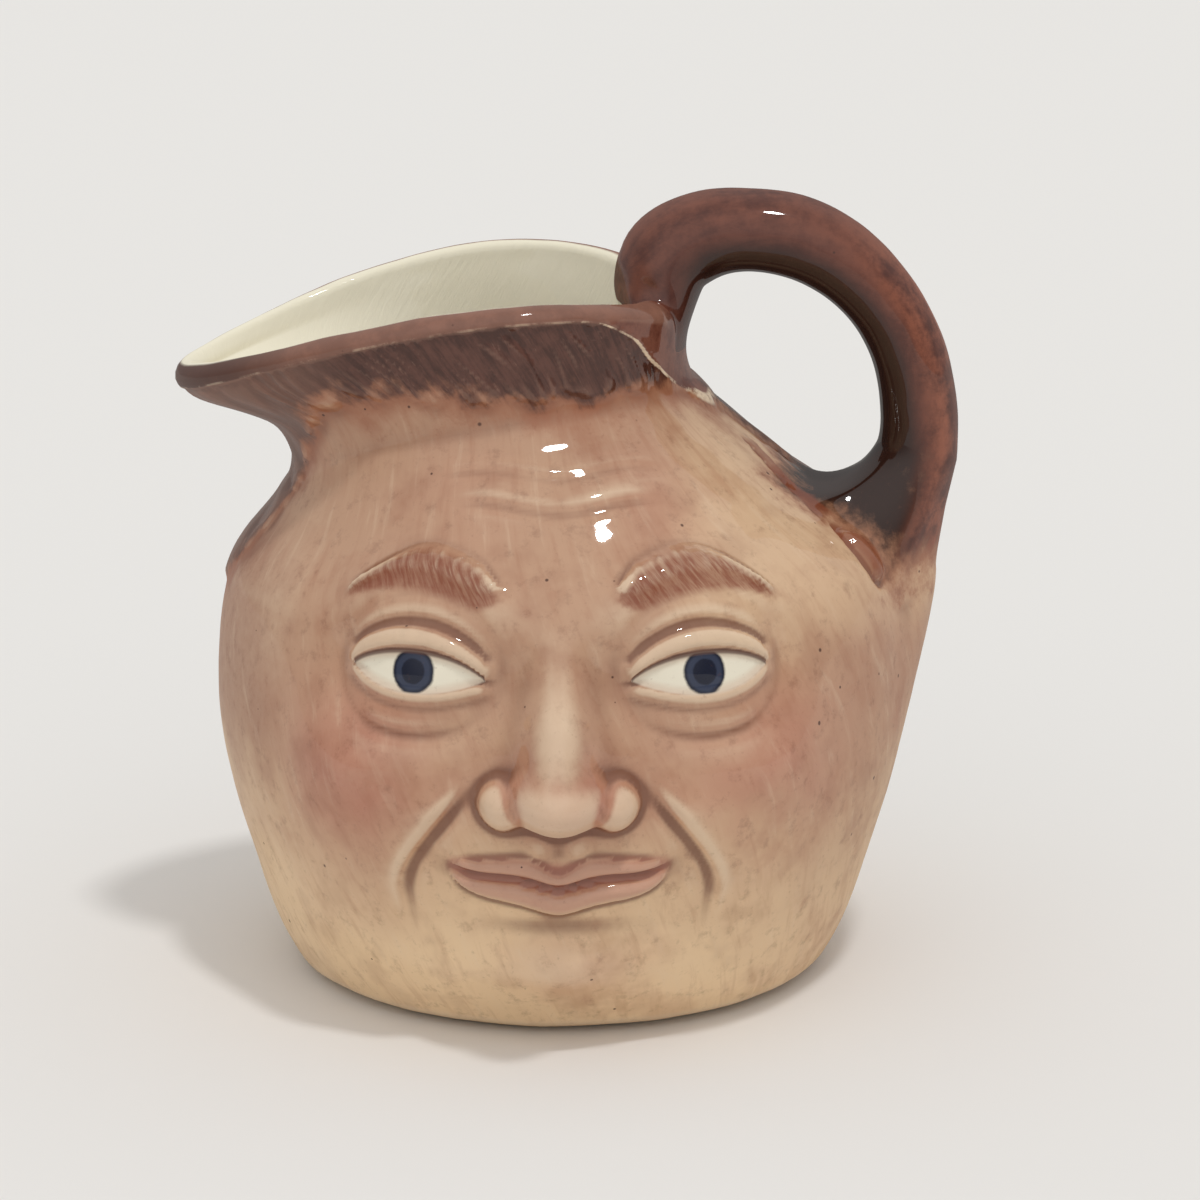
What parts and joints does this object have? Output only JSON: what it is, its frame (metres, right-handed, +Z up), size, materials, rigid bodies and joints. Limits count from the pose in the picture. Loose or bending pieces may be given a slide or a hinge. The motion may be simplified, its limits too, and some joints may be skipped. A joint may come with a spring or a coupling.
{
  "type": "face jug",
  "caption": "Small glazed earthenware face jug: a hollow round pot with a face on its front, a pouring lip at its left and a loop handle at its right.",
  "frame": {"origin": "on the ground under the middle of the jug's box", "axes": "+Z up; the face looks along -Y; the lip points along -X and the handle along +X"},
  "size_m": [0.0832, 0.0814, 0.0839],
  "materials": {
    "glaze": "clear gloss glaze over brown, flesh and cream brushwork"
  },
  "bodies": {
    "root": {"jug": "glaze"}
  },
  "joints": []
}
